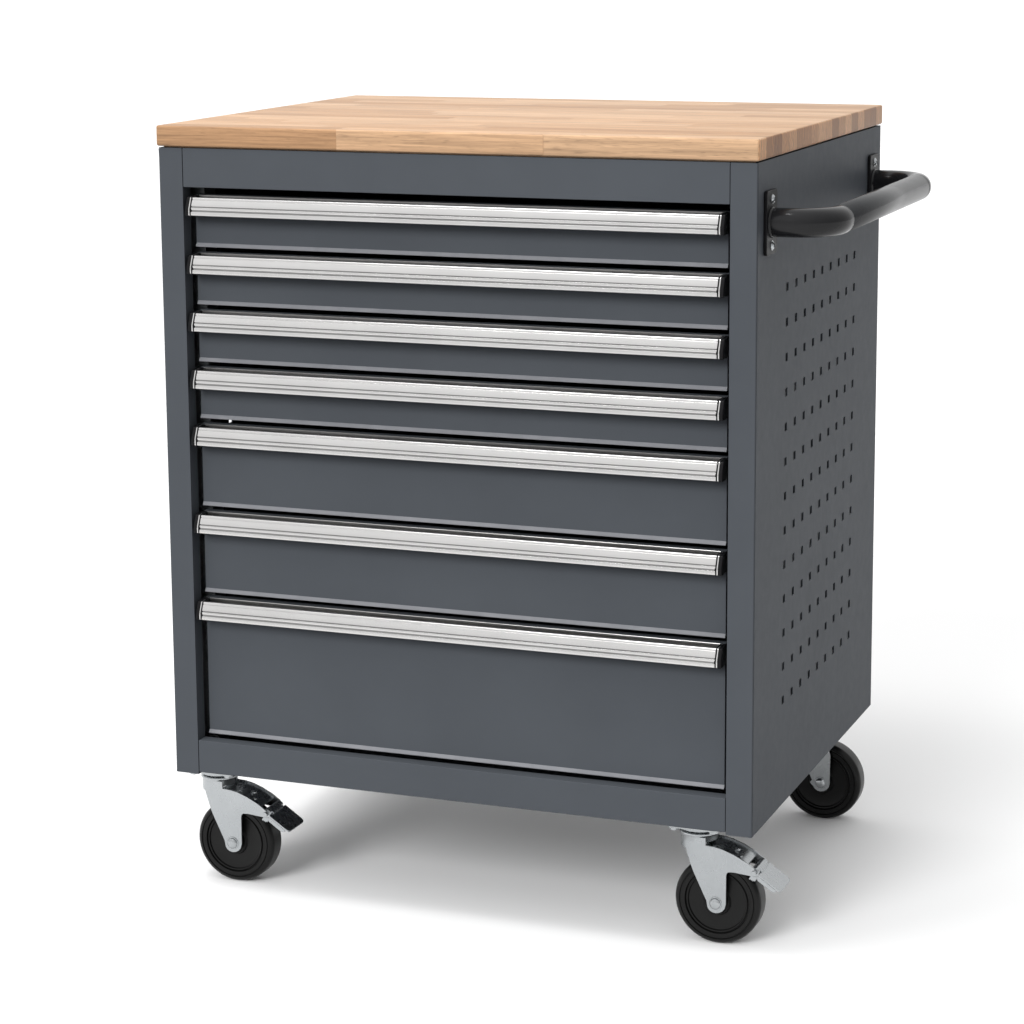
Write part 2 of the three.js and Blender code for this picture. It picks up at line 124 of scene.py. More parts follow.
def smooth(obj, angle=bends["plain"]):
    takeUp(obj)
    bpy.ops.object.shade_smooth_by_angle(angle=math.radians(angle))
    return obj


def outward(obj):
    edit(obj, "VERT")
    bpy.ops.mesh.select_all(action="SELECT")
    bpy.ops.mesh.remove_doubles(threshold=0.00001)
    bpy.ops.mesh.normals_make_consistent(inside=False)
    leave()
    return obj


def placeOn(axis, along, a, b):
    return Vector({"X": (along, a, b), "Y": (a, along, b), "Z": (a, b, along)}[axis])


def drawLine(name, points):  # a chain of edges through these points, left in edit mode
    letGo()
    bpy.ops.mesh.primitive_plane_add(size=0.01, location=points[0])
    obj = bpy.context.object
    obj.name = name
    settle(obj)
    edit(obj, "VERT")
    bpy.ops.mesh.select_all(action="SELECT")
    bpy.ops.mesh.merge(type="CENTER")
    for before, after in zip(points, points[1:]):
        bpy.ops.mesh.extrude_region_move(TRANSFORM_OT_translate={"value": after - before})
    bpy.ops.mesh.select_all(action="SELECT")
    return obj


def block(name, middle, size):  # a box with its scale applied
    letGo()
    bpy.ops.mesh.primitive_cube_add(size=1, location=middle)
    obj = bpy.context.object
    obj.name = name
    obj.scale = size
    return settle(obj)


def roundEdges(obj, axis, width, segments):  # the edges that run along one axis
    index = "XYZ".index(axis)
    pickEdges(obj, lambda a, b: abs(a[index] - b[index]) > mm(1))
    bpy.ops.mesh.bevel(offset=width, segments=segments, affect="EDGES")
    leave()


def outlineSolid(name, outline, axis, start, end):  # a closed outline drawn out along an axis
    obj = drawLine(name, [placeOn(axis, start, a, b) for a, b in outline])
    bpy.ops.mesh.edge_face_add()
    bpy.ops.mesh.extrude_region_move(
        TRANSFORM_OT_translate={"value": placeOn(axis, end - start, 0, 0)})
    leave()
    return outward(obj)


def turned(name, profile, axis, centre, steps):  # (radius, along) points spun round
    side = {"X": Vector((0, 0, 1)), "Y": Vector((1, 0, 0)), "Z": Vector((1, 0, 0))}[axis]
    along = placeOn(axis, 1, 0, 0)
    points = [Vector(centre) + side * radius + along * rise for radius, rise in profile]
    obj = drawLine(name, points + points[:1])
    bpy.ops.mesh.spin(steps=steps, angle=2 * math.pi, center=centre, axis=along)
    leave()
    return outward(obj)


def copyOf(source, name, move=(0, 0, 0)):
    takeUp(source)
    bpy.ops.object.duplicate()
    obj = bpy.context.object
    obj.name = name
    obj.data.name = name
    bpy.ops.transform.translate(value=move)
    return settle(obj)


def nodeCopy(node, name):  # a CAD node's shape as a piece of its own
    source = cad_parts[node]
    obj = bpy.data.objects.new(name, source.data.copy())
    bpy.context.collection.objects.link(obj)
    takeUp(obj)
    edit(obj, "VERT")
    bpy.ops.mesh.select_all(action="SELECT")
    bpy.ops.mesh.remove_doubles(threshold=0.000005)
    leave()
    return obj


def unite(name, *objs):
    takeUp(objs[0])
    for obj in objs:
        obj.select_set(True)
    bpy.ops.object.join()
    made = bpy.context.object
    made.name = name
    return made


def discard(*objs):
    for obj in objs:
        bpy.data.objects.remove(obj)


def keepInside(obj, tool):  # what lies inside the tool is left
    useModifier(obj, "BOOLEAN", object=tool, operation="INTERSECT", solver="EXACT")
    discard(tool)


def hand(obj, material, body, replaces=()):  # its finish, and the body it moves with
    obj.data.materials.clear()
    obj.data.materials.append(material)
    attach(obj, body)
    if replaces:
        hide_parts(*replaces)


# nodes and materials

def addNode(tree, kind, inputs=(), **settings):
    node = tree.nodes.new(kind)
    for key, value in settings.items():
        setattr(node, key, value)
    for key, value in dict(inputs).items():
        node.inputs[key].default_value = value
    return node


def newMaterial(name, **fixed):
    material = bpy.data.materials.new(name)
    material.use_nodes = True
    shader = material.node_tree.nodes["Principled BSDF"]
    for label, value in fixed.items():
        shader.inputs[label.replace("_", " ")].default_value = value
    return material, material.node_tree, shader


# camera, floor and light

studio = {
    "cameraPlace": (1.1948, -3.3092, 1.2312),
    "turn": 20.991, "tip": 79.834, "roll": -0.381,
    "lens": 96.73, "shift": -0.10,
    "floorSize": 400, "floorShade": (0.97, 0.97, 0.97, 1), "floorReturn": (0.26, 0.26, 0.27, 1),
    "horizon": 0.98, "zenith": 1.4, "rise": 1.5, "rightShade": 0.6, "softShare": 0.84,
    "sunTilt": 63, "sunTurn": -14, "sunWidth": 26, "sunPower": 2.15,
    "topPlace": (-0.6, -0.8, 3.1), "topAim": (0, 0, 0.5), "topSize": (0.9, 0.7), "topPower": 24,
}


def setCamera():
    data = bpy.data.cameras.new("camera")
    data.sensor_width = 36
    data.lens = studio["lens"]
    data.shift_y = studio["shift"]
    data.clip_end = 500
    camera = bpy.data.objects.new("camera", data)
    bpy.context.collection.objects.link(camera)
    turn = Matrix.Rotation(math.radians(studio["turn"]), 4, "Z")
    tip = Matrix.Rotation(math.radians(studio["tip"]), 4, "X")
    roll = Matrix.Rotation(math.radians(studio["roll"]), 4, "Z")
    camera.matrix_world = Matrix.Translation(studio["cameraPlace"]) @ turn @ tip @ roll
    bpy.context.scene.camera = camera


def setFloor():
    letGo()
    bpy.ops.mesh.primitive_plane_add(size=studio["floorSize"], location=(0, 0, 0))
    floor = settle(bpy.context.object)
    floor.name = "floor"
    paper, tree, shader = newMaterial("paper", Roughness=1, Specular_IOR_Level=0)
    # white to look at, but it throws little light back up under the handles
    ray = addNode(tree, "ShaderNodeLightPath")
    shade = addNode(tree, "ShaderNodeMix", {"A": studio["floorShade"], "B": studio["floorReturn"]},
                    data_type="RGBA")
    tree.links.new(ray.outputs["Diffuse Depth"], shade.inputs["Factor"])
    tree.links.new(shade.outputs["Result"], shader.inputs["Base Color"])
    floor.data.materials.append(paper)


def addLight(name, kind, power):
    data = bpy.data.lights.new(name, kind)
    data.energy = power
    light = bpy.data.objects.new(name, data)
    bpy.context.collection.objects.link(light)
    return light, data


def setLights():
    top, topData = addLight("topLight", "AREA", studio["topPower"])
    topData.shape = "RECTANGLE"
    topData.size, topData.size_y = studio["topSize"]
    top.location = studio["topPlace"]
    aim = Vector(studio["topAim"]) - Vector(studio["topPlace"])
    top.rotation_euler = aim.to_track_quat("-Z", "Y").to_euler()
    window, windowData = addLight("windowLight", "SUN", studio["sunPower"])
    windowData.angle = math.radians(studio["sunWidth"])
    window.rotation_euler = (math.radians(studio["sunTilt"]), 0, math.radians(studio["sunTurn"]))
    window.visible_glossy = False  # metal shows the room, not this light


def setWorld():
    world = bpy.data.worlds.new("room")
    bpy.context.scene.world = world
    world.use_nodes = True
    tree = world.node_tree
    tree.nodes.clear()
    link = tree.links.new
    coord = addNode(tree, "ShaderNodeTexCoord")
    split = addNode(tree, "ShaderNodeSeparateXYZ")
    # brighter towards the top
    upper = addNode(tree, "ShaderNodeMath", {1: 0}, operation="MAXIMUM")
    power = addNode(tree, "ShaderNodeMath", {1: studio["rise"]}, operation="POWER", use_clamp=True)
    span = addNode(tree, "ShaderNodeMapRange", {"To Min": studio["horizon"], "To Max": studio["zenith"]})
    # darker on the push bar's side
    right = addNode(tree, "ShaderNodeMapRange", {"To Min": 1, "To Max": studio["rightShade"]})
    dim = addNode(tree, "ShaderNodeMath", operation="MULTIPLY")
    # bright in the gloss, softer as fill light
    ray = addNode(tree, "ShaderNodeLightPath")
    share = addNode(tree, "ShaderNodeMapRange", {"To Min": 1, "To Max": studio["softShare"]})
    fill = addNode(tree, "ShaderNodeMath", operation="MULTIPLY")
    back = addNode(tree, "ShaderNodeBackground", {"Color": (1, 1, 1, 1)})
    out = addNode(tree, "ShaderNodeOutputWorld")
    link(coord.outputs["Generated"], split.inputs[0])
    link(split.outputs["Z"], upper.inputs[0])
    link(upper.outputs[0], power.inputs[0])
    link(power.outputs[0], span.inputs["Value"])
    link(split.outputs["X"], right.inputs["Value"])
    link(span.outputs["Result"], dim.inputs[0])
    link(right.outputs["Result"], dim.inputs[1])
    link(ray.outputs["Diffuse Depth"], share.inputs["Value"])
    link(dim.outputs[0], fill.inputs[0])
    link(share.outputs["Result"], fill.inputs[1])
    link(fill.outputs[0], back.inputs["Strength"])
    link(back.outputs[0], out.inputs[0])


setCamera()
setFloor()
setLights()
setWorld()
bpy.context.scene.view_settings.view_transform = "Standard"
print("camera, floor and light set")


# finishes

def newGroup(name, inputs, outputs):
    tree = bpy.data.node_groups.new(name, "ShaderNodeTree")
    for label, kind, value in inputs:
        socket = tree.interface.new_socket(label, in_out="INPUT", socket_type="NodeSocket" + kind)
        socket.default_value = value
    for label, kind in outputs:
        tree.interface.new_socket(label, in_out="OUTPUT", socket_type="NodeSocket" + kind)
    return tree, addNode(tree, "NodeGroupInput"), addNode(tree, "NodeGroupOutput")


def makeGrain():  # fine and broad unevenness, stretched where the finish has a direction
    tree, given, made = newGroup(
        "surfaceGrain",
        [("Point", "Vector", (0, 0, 0)), ("Stretch", "Vector", (1, 1, 1)),
         ("Fine", "Float", 800), ("Broad", "Float", 6)],
        [("Fine", "Float"), ("Broad", "Float"), ("Scratch", "Float")])
    link = tree.links.new
    stretch = addNode(tree, "ShaderNodeVectorMath", operation="MULTIPLY")
    fine = addNode(tree, "ShaderNodeTexNoise", {"Detail": 3, "Roughness": 0.55})
    broad = addNode(tree, "ShaderNodeTexNoise", {"Detail": 4, "Roughness": 0.6})
    long = addNode(tree, "ShaderNodeTexNoise", {"Scale": 90, "Detail": 2})
    spread = addNode(tree, "ShaderNodeMapRange", {"From Min": 0.3, "From Max": 0.7})
    link(given.outputs["Point"], stretch.inputs[0])
    link(given.outputs["Stretch"], stretch.inputs[1])
    link(stretch.outputs[0], fine.inputs["Vector"])
    link(given.outputs["Point"], broad.inputs["Vector"])
    link(stretch.outputs[0], long.inputs["Vector"])
    link(given.outputs["Fine"], fine.inputs["Scale"])
    link(given.outputs["Broad"], broad.inputs["Scale"])
    link(broad.outputs["Fac"], spread.inputs["Value"])
    link(fine.outputs["Fac"], made.inputs["Fine"])
    link(spread.outputs["Result"], made.inputs["Broad"])
    link(long.outputs["Fac"], made.inputs["Scratch"])
    return tree


# width and length in metres, the teeth and lines as shares of them
staves = {
    "width": 0.0333, "length": 0.31, "rowShift": 7.3, "uneven": 0.5, "unevenScale": 2.1,
    "teeth": 4, "toothDeep": 0.02, "glueFrom": 0.485, "jointFrom": 0.4975, "patternShift": 3,
    "grain": (8, 240, 240), "pores": (60, 900, 900), "poreFrom": 0.62, "poreFull": 0.72, "poreDark": 0.16,
    "rings": 60, "ringWaver": 9, "ringShare": 0.35, "ringBase": 0.3, "endFrom": 0.55, "endFull": 0.8,
}


def makeStaves():  # glued staves that run along X, each made of finger-jointed lengths
    tree, given, made = newGroup(
        "staveBoard",
        [("Point", "Vector", (0, 0, 0)), ("Facing", "Vector", (0, 0, 1)),
         ("Stave", "Float", staves["width"]), ("Length", "Float", staves["length"])],
        [("Tone", "Float"), ("Fibre", "Float"), ("Seam", "Float"), ("End", "Float")])
    link = tree.links.new

    def maths(operation, a, b=None):
        node = addNode(tree, "ShaderNodeMath", operation=operation)
        for index, value in enumerate((a, b)):
            if isinstance(value, (int, float)):
                node.inputs[index].default_value = value
            elif value is not None:
                link(value, node.inputs[index])
        return node.outputs[0]

    def ramp(value, start, stop):
        node = addNode(tree, "ShaderNodeMapRange", {"From Min": start, "From Max": stop})
        link(value, node.inputs["Value"])
        return node.outputs["Result"]

    point = addNode(tree, "ShaderNodeSeparateXYZ")
    link(given.outputs["Point"], point.inputs[0])
    across = maths("DIVIDE", point.outputs["Y"], given.outputs["Stave"])
    row = maths("FLOOR", across)
    rowNoise = addNode(tree, "ShaderNodeTexWhiteNoise", noise_dimensions="1D")
    link(row, rowNoise.inputs["W"])
    along = maths("DIVIDE", point.outputs["X"], given.outputs["Length"])
    along = maths("ADD", along, maths("MULTIPLY", rowNoise.outputs["Value"], staves["rowShift"]))
    bend = addNode(tree, "ShaderNodeTexNoise", {"Scale": staves["unevenScale"], "Detail": 0},
                   noise_dimensions="1D")
    link(along, bend.inputs["W"])
    along = maths("ADD", along, maths("MULTIPLY", bend.outputs["Fac"], staves["uneven"]))
    # the finger joint is a fine zigzag
    zigzag = maths("PINGPONG", maths("MULTIPLY", across, staves["teeth"]), 1)
    along = maths("ADD", along, maths("MULTIPLY", zigzag, staves["toothDeep"]))
    key = addNode(tree, "ShaderNodeCombineXYZ")
    link(row, key.inputs["X"])
    link(maths("FLOOR", along), key.inputs["Y"])
    tone = addNode(tree, "ShaderNodeTexWhiteNoise", noise_dimensions="3D")
    link(key.outputs[0], tone.inputs["Vector"])

    # distance to the nearest glue line and to the nearest finger joint
    edgeAcross = maths("ABSOLUTE", maths("SUBTRACT", maths("FRACT", across), 0.5))
    edgeAlong = maths("ABSOLUTE", maths("SUBTRACT", maths("FRACT", along), 0.5))
    seam = ramp(edgeAcross, staves["glueFrom"], 0.5)
    joint = ramp(edgeAlong, staves["jointFrom"], 0.5)

    # fibres follow X, and each length has its own stretch of the pattern
    shift = addNode(tree, "ShaderNodeVectorMath", {"Scale": staves["patternShift"]}, operation="SCALE")
    link(tone.outputs["Color"], shift.inputs[0])
    moved = addNode(tree, "ShaderNodeVectorMath", operation="ADD")
    link(given.outputs["Point"], moved.inputs[0])
    link(shift.outputs[0], moved.inputs[1])
    longGrain = addNode(tree, "ShaderNodeVectorMath", {1: staves["grain"]}, operation="MULTIPLY")
    link(moved.outputs[0], longGrain.inputs[0])
    fibre = addNode(tree, "ShaderNodeTexNoise",
                    {"Scale": 1, "Detail": 5, "Roughness": 0.62, "Distortion": 0.6})
    link(longGrain.outputs[0], fibre.inputs["Vector"])
    pores = addNode(tree, "ShaderNodeVectorMath", {1: staves["pores"]}, operation="MULTIPLY")
    link(moved.outputs[0], pores.inputs[0])
    pore = addNode(tree, "ShaderNodeTexNoise", {"Scale": 1, "Detail": 1})
    link(pores.outputs[0], pore.inputs["Vector"])
    poreMask = ramp(pore.outputs["Fac"], staves["poreFrom"], staves["poreFull"])

    # end grain: growth rings cut across
    rings = addNode(tree, "ShaderNodeTexWave",
                    {"Scale": staves["rings"], "Distortion": staves["ringWaver"], "Detail": 2,
                     "Detail Scale": 0.9}, wave_type="BANDS", bands_direction="Y")
    link(moved.outputs[0], rings.inputs["Vector"])
    face = addNode(tree, "ShaderNodeSeparateXYZ")
    link(given.outputs["Facing"], face.inputs[0])
    end = ramp(maths("ABSOLUTE", face.outputs["X"]), staves["endFrom"], staves["endFull"])
    ringTone = maths("ADD", maths("MULTIPLY", rings.outputs["Fac"], staves["ringShare"]), staves["ringBase"])
    sideTone = maths("SUBTRACT", fibre.outputs["Fac"], maths("MULTIPLY", poreMask, staves["poreDark"]))
    blend = addNode(tree, "ShaderNodeMix", data_type="FLOAT")
    link(end, blend.inputs["Factor"])
    link(sideTone, blend.inputs["A"])
    link(ringTone, blend.inputs["B"])

    link(tone.outputs["Value"], made.inputs["Tone"])
    link(blend.outputs["Result"], made.inputs["Fibre"])
    link(maths("MAXIMUM", seam, joint), made.inputs["Seam"])
    link(end, made.inputs["End"])
    return tree


surfaceGrain = makeGrain()
staveBoard = makeStaves()


def finish(name, dark, light, rough, bump, grain, broad, stretch=(1, 1, 1), soft=1, **fixed):
    material, tree, shader = newMaterial(name, **fixed)
    link = tree.links.new
    coord = addNode(tree, "ShaderNodeTexCoord")
    unevenness = addNode(tree, "ShaderNodeGroup", node_tree=surfaceGrain)
    unevenness.inputs["Stretch"].default_value = stretch
    unevenness.inputs["Fine"].default_value = grain
    unevenness.inputs["Broad"].default_value = broad
    colour = addNode(tree, "ShaderNodeMix", {"A": (*dark, 1), "B": (*light, 1)}, data_type="RGBA")
    gloss = addNode(tree, "ShaderNodeMapRange", {"To Min": rough[0], "To Max": rough[1]})
    relief = addNode(tree, "ShaderNodeBump", {"Strength": soft, "Distance": bump})
    height = addNode(tree, "ShaderNodeMath", operation="ADD")
    link(coord.outputs["Object"], unevenness.inputs["Point"])
    link(unevenness.outputs["Broad"], colour.inputs["Factor"])
    link(colour.outputs["Result"], shader.inputs["Base Color"])
    link(unevenness.outputs["Scratch"], gloss.inputs["Value"])
    link(gloss.outputs["Result"], shader.inputs["Roughness"])
    link(unevenness.outputs["Fine"], height.inputs[0])
    link(unevenness.outputs["Scratch"], height.inputs[1])
    link(height.outputs[0], relief.inputs["Height"])
    link(relief.outputs["Normal"], shader.inputs["Normal"])
    return material


beechTones = {
    "dark": (0.44, 0.250, 0.128, 1), "middle": (0.54, 0.325, 0.18, 1), "light": (0.64, 0.415, 0.25, 1),
    # end grain: tone spread across staves, lifted as painted fill light on the dim end of the board
    "endDark": (0.66, 0.53, 0.42, 1), "endLight": (1.25, 1.08, 0.92, 1), "glue": (0.35, 0.2, 0.11, 1),
    "fibreDark": 0.5, "fibreLight": 1.22, "glueShare": 0.45, "smooth": 0.42, "rough": 0.6, "relief": 0.0003,
}


def beechBoard():
    material, tree, shader = newMaterial("oiledBeech", Specular_IOR_Level=0.35, Coat_Weight=0.08,
                                         Coat_Roughness=0.35)
    link = tree.links.new
    coord = addNode(tree, "ShaderNodeTexCoord")
    place = addNode(tree, "ShaderNodeNewGeometry")
    wood = addNode(tree, "ShaderNodeGroup", node_tree=staveBoard)
    tone = addNode(tree, "ShaderNodeValToRGB")
    ramp = tone.color_ramp
    ramp.elements[0].color = beechTones["dark"]
    ramp.elements[1].color = beechTones["light"]
    ramp.elements.new(0.5).color = beechTones["middle"]
    fibre = addNode(tree, "ShaderNodeMapRange",
                    {"From Min": 0.25, "From Max": 0.75, "To Min": beechTones["fibreDark"],
                     "To Max": beechTones["fibreLight"]})
    shade = addNode(tree, "ShaderNodeMix", {"Factor": 1.0}, data_type="RGBA", blend_type="MULTIPLY")
    grey = addNode(tree, "ShaderNodeCombineColor")
    endTone = addNode(tree, "ShaderNodeMix", data_type="RGBA", blend_type="MULTIPLY")
    # end faces: real tone spread across staves, lifted as painted fill light
    endToneWithFill = addNode(tree, "ShaderNodeMix", {"A": beechTones["endDark"], "B": beechTones["endLight"]},
                       data_type="RGBA")
    seamTone = addNode(tree, "ShaderNodeMix", {"B": beechTones["glue"]}, data_type="RGBA")
    seamShare = addNode(tree, "ShaderNodeMath", {1: beechTones["glueShare"]}, operation="MULTIPLY")
    gloss = addNode(tree, "ShaderNodeMapRange",
                    {"To Min": beechTones["smooth"], "To Max": beechTones["rough"]})
    lower = addNode(tree, "ShaderNodeMath", operation="SUBTRACT")
    relief = addNode(tree, "ShaderNodeBump", {"Strength": 0.5, "Distance": beechTones["relief"]})
    link(coord.outputs["Object"], wood.inputs["Point"])
    link(place.outputs["Normal"], wood.inputs["Facing"])
    link(wood.outputs["Tone"], tone.inputs["Fac"])
    link(wood.outputs["Fibre"], fibre.inputs["Value"])
    for channel in ("Red", "Green", "Blue"):
        link(fibre.outputs["Result"], grey.inputs[channel])
    link(tone.outputs["Color"], shade.inputs["A"])
    link(grey.outputs["Color"], shade.inputs["B"])
    link(shade.outputs["Result"], endTone.inputs["A"])
    link(wood.outputs["End"], endTone.inputs["Factor"])
    link(wood.outputs["Tone"], endToneWithFill.inputs["Factor"])
    link(endToneWithFill.outputs["Result"], endTone.inputs["B"])
    link(endTone.outputs["Result"], seamTone.inputs["A"])
    link(wood.outputs["Seam"], seamShare.inputs[0])
    link(seamShare.outputs[0], seamTone.inputs["Factor"])
    link(seamTone.outputs["Result"], shader.inputs["Base Color"])
    link(wood.outputs["Fibre"], gloss.inputs["Value"])
    link(gloss.outputs["Result"], shader.inputs["Roughness"])
    link(wood.outputs["Fibre"], lower.inputs[0])
    link(wood.outputs["Seam"], lower.inputs[1])
    link(lower.outputs[0], relief.inputs["Height"])
    link(relief.outputs["Normal"], shader.inputs["Normal"])
    return material


paint = finish("anthracitePaint", (0.070, 0.077, 0.087), (0.079, 0.087, 0.098), (0.46, 0.58), 0.00005,
               900, 5, soft=0.3, Specular_IOR_Level=0.08)
# a lighter copy of the body paint: painted highlight for the light the upturned hem catches
hemHighlightPaint = finish("hemHighlightPaint", (0.17, 0.175, 0.19), (0.21, 0.215, 0.23), (0.3, 0.4), 0.00004,
                  900, 30, soft=0.2, Specular_IOR_Level=0.5)
aluminium = finish("brushedAluminium", (0.565, 0.558, 0.552), (0.605, 0.598, 0.592), (0.25, 0.3), 0.000004,
                   700, 12, stretch=(0.002, 1, 1), soft=0.1, Metallic=1)
# a darker copy of the aluminium for strips in the grooves: painted shadow
grooveShadowFinish = finish("paintedGrooveShadow", (0.21, 0.208, 0.206), (0.26, 0.257, 0.255), (0.3, 0.4), 0.000004,
                     700, 12, stretch=(0.002, 1, 1), soft=0.1, Metallic=1)
zinc = finish("brightZinc", (0.365, 0.383, 0.395), (0.42, 0.437, 0.447), (0.25, 0.3), 0.000004,
              300, 12, stretch=(1, 1, 0.5), soft=0.01, Metallic=1)
slideSteel = finish("slideSteel", (0.40, 0.42, 0.44), (0.50, 0.52, 0.54), (0.3, 0.46), 0.00004,
                    600, 20, stretch=(1, 0.05, 1), soft=0.4, Metallic=1)
glossBlack = finish("glossBlack", (0.008, 0.008, 0.009), (0.012, 0.012, 0.013), (0.13, 0.18), 0.00001,
                    200, 15, soft=0.02, Specular_IOR_Level=0.24)
tubePaint = finish("tubePaint", (0.014, 0.015, 0.017), (0.019, 0.021, 0.023), (0.2, 0.26), 0.00001,
                   500, 15, soft=0.02, Specular_IOR_Level=0.16)
capPlastic = finish("capPlastic", (0.003, 0.003, 0.0035), (0.006, 0.006, 0.007), (0.4, 0.5), 0.00004,
                    600, 20, soft=0.2, Specular_IOR_Level=0.15)
rubber = finish("blackRubber", (0.004, 0.004, 0.004), (0.007, 0.007, 0.0068), (0.26, 0.36), 0.00003,
                450, 18, soft=0.15, Specular_IOR_Level=0.2)
beech = beechBoard()
print("finishes made")


# worktop

board = {"edge": 2.6, "rebateIn": 7, "rebateUp": 1.6}


def makeWorktop():
    low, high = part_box("worktop")
    under = low.z + mm(board["rebateUp"])
    middle = (low + high) / 2
    top = block("beech_worktop", (middle.x, middle.y, (under + high.z) / 2),
                (high.x - low.x, high.y - low.y, high.z - under))
    edit(top, "EDGE")
    bpy.ops.mesh.select_all(action="SELECT")
    bpy.ops.mesh.bevel(offset=mm(board["edge"]), segments=4, affect="EDGES")
    leave()
    pickFaces(top, lambda at, facing: facing.z < -0.99)
    bpy.ops.mesh.inset(thickness=mm(board["rebateIn"]) - mm(board["edge"]))
    bpy.ops.mesh.extrude_region_move(TRANSFORM_OT_translate={"value": (0, 0, low.z - under)})
    leave()
    hand(smooth(outward(top)), beech, "chest", ["worktop"])


makeWorktop()
print("worktop done")


# cabinet

cabinet = {
    "fold": 0.7, "cornerFold": 1.5,
    "seamBehindCorner": 1.8, "seamWidth": 1.5, "seamDepth": 0.9,
    "edgeRound": 0.35, "rivetRadius": 3.4, "rivetHeight": 1.3, "rivetFromEdge": 9, "rivetFromEnd": 40,
    "rivetRows": 7,
}


def sideSheet(side, sign):
    node = "side_panel_" + side
    low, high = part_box(node)
    outer = high.x if sign > 0 else low.x
    near = mm(0.01)

    def atCorner(a, b):
        gaps = (a.x - outer, b.x - outer, a.y - low.y, b.y - low.y)
        return all(abs(gap) < near for gap in gaps)

    # a shallow seam runs down the side, just behind the front corner
    sheet = nodeCopy(node, "sheet_" + node)
    for distance in (cabinet["seamBehindCorner"], cabinet["seamBehindCorner"] + cabinet["seamWidth"]):
        edit(sheet, "VERT")
        bpy.ops.mesh.select_all(action="SELECT")
        bpy.ops.mesh.bisect(plane_co=(0, low.y + mm(distance), 0), plane_no=(0, 1, 0))
        leave()
    start = low.y + mm(cabinet["seamBehindCorner"])
    stop = start + mm(cabinet["seamWidth"])
    pickFaces(sheet, lambda at, facing: abs(at.x - outer) < near and start < at.y < stop)
    bpy.ops.mesh.extrude_region_move(
        TRANSFORM_OT_translate={"value": (-sign * mm(cabinet["seamDepth"]), 0, 0)})
    leave()
    pickEdges(sheet, atCorner)
    bpy.ops.mesh.bevel(offset=mm(cabinet["cornerFold"]), segments=3, affect="EDGES")
    leave()
    soften(sheet, mm(cabinet["edgeRound"]), 1)
    hand(sheet, paint, "chest", [node])


def plainSheet(node):
    sheet = soften(nodeCopy(node, "sheet_" + node), mm(cabinet["fold"]), 2)
    hand(sheet, paint, "chest", [node])


def domedHead(name, centre, radius, height, axis, outwardSign, sides=20):
    shares = [(0, 1), (0.45, 0.93), (0.8, 0.68), (1, 0.2), (1, 0), (0, 0)]
    profile = [(mm(radius * out), outwardSign * mm(height * up)) for out, up in shares]
    return smooth(turned(name, profile, axis, centre, sides), bends["dome"])


def makeRivets():  # one row down each edge of the back
    low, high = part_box("back_panel")
    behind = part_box("side_panel_left")[1].y
    end = mm(cabinet["rivetFromEnd"])
    rise = (high.z - low.z - 2 * end) / (cabinet["rivetRows"] - 1)
    inset = mm(cabinet["rivetFromEdge"])
    places = [Vector((x, behind, low.z + end + row * rise))
              for x in (low.x + inset, high.x - inset) for row in range(cabinet["rivetRows"])]
    rivets = [domedHead("rivet", places[0], cabinet["rivetRadius"], cabinet["rivetHeight"], "Y", 1, 16)]
    rivets += [copyOf(rivets[0], "rivet", place - places[0]) for place in places[1:]]
    hand(unite("back_rivets", *rivets), zinc, "chest")


def makeCabinet():
    for side, sign in (("left", -1), ("right", 1)):
        sideSheet(side, sign)
    for node in ("top_rail", "base_tray", "back_panel", "top_panel"):
        plainSheet(node)
    makeRivets()


makeCabinet()
print("cabinet done")


# drawers

drawerParts = {
    "count": 7, "fold": 0.5,
    "lipHeight": 5.0, "lipOut": 2.4, "lipNose": 1.2,
    "gripShort": 7.0, "lineShort": 0.4, "rimGap": 1.8, "rimWidth": 1.5, "capWidth": 4.6,
    "coreShare": 0.93, "coreIn": 1, "coreOut": 2.5, "lipBack": 0.3, "lipCorner": 0.4,
    "gripEdge": 0.12, "rimEdge": 0.2, "capEdge": 0.9, "lipEdge": 0.25,
}

# the handle's section: distance in front of its back face and height against its highest point
gripOutline = [
    (-12, -24.5), (-22.2, -24.5), (-23.8, -24.2), (-24.8, -23.4), (-25, -22.2), (-24.6, -19.8),
    (-24.3, -19.0), (-22.1, -18.7), (-22.1, -17.1), (-24.0, -16.8), (-24.2, -15.8), (-23.9, -14.4),
    (-23.7, -13.8), (-22.3, -13.5), (-22.3, -12.6), (-23.2, -12.3), (-22.6, -10.4), (-21.8, -8.6),
    (-20.6, -6.0), (-20.1, -5.1), (-19.5, -4.8), (-19.35, -4.3), (-19.4, -3.7), (-19.0, -2.7), (-18.2, -1.9),
    (-17.2, -1.5), (-15.6, -1.5), (-14.6, -1.9), (-14.2, -2.9), (-14.2, -13.5), (-2.2, -13.5), (-2.2, -0.5),
    (-1.7, 0), (-0.4, 0), (0, -0.4), (0, -15.7), (-21.9, -15.7), (-20.2, -22.3), (-12, -22.3),
]
grooveShadowOutlines = [  # dark strips at the bottom of the two grooves, a painted shadow
    [(-22.0, -18.8), (-23.7, -18.8), (-23.7, -17.0), (-22.0, -17.0)],
    [(-22.2, -13.5), (-22.75, -13.5), (-22.75, -12.6), (-22.2, -12.6)],
]
capOutline = [
    (-21.8, -24.7), (-23.6, -24.4), (-24.8, -23.5), (-25.2, -22), (-25.2, -18), (-25, -15.9), (-24.1, -13.4),
    (-20.3, -4.9), (-19.5, -2.9), (-18.6, -1.8), (-17.2, -1.2), (-14, -0.9), (-3, 0.1), (-0.5, 0.2),
    (-0.1, -1), (-0.1, -20), (-1.0, -23), (-3.8, -24.7),
]


def onHandle(outline, node):
    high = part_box(node)[1]
    return [(high.y + mm(y), high.z + mm(z)) for y, z in outline]


